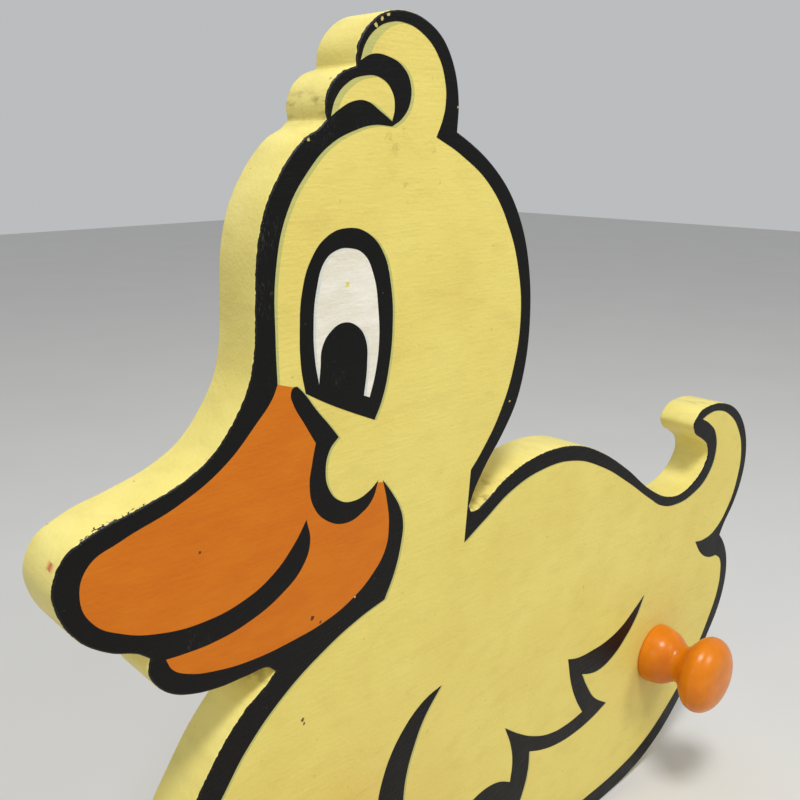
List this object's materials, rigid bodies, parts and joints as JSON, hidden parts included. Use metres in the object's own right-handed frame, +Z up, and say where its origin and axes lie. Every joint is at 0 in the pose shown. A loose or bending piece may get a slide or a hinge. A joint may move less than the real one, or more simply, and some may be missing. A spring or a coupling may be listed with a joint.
{
  "type": "wall coat rack",
  "caption": "Wall-hung children's coat rack: a flat sawn duckling-shaped board with turned mushroom pegs on its face and keyhole hangers let into its back.",
  "frame": {"origin": "on the wall plane, halfway between the centres of the two hangers' entry holes", "axes": "+X to the right as seen from the front, +Y into the wall, +Z up"},
  "size_m": [0.3589, 0.054, 0.338],
  "materials": {
    "board_paint": "satin yellow paint over a sanded board, with black, orange and white printed artwork on the front",
    "peg_enamel": "gloss orange enamel on turned hardwood",
    "zinc_screw": "bright zinc plate",
    "hanger_steel": "dull zinc plate on pressed sheet steel"
  },
  "bodies": {
    "root": {"duck_board": "board_paint", "left_peg": "peg_enamel", "right_peg": "peg_enamel", "left_peg_screw": "zinc_screw", "right_peg_screw": "zinc_screw", "left_hanger_plate": "hanger_steel", "right_hanger_plate": "hanger_steel", "left_hanger_upper_screw": "zinc_screw", "left_hanger_lower_screw": "zinc_screw", "right_hanger_upper_screw": "zinc_screw", "right_hanger_lower_screw": "zinc_screw"}
  },
  "joints": []
}
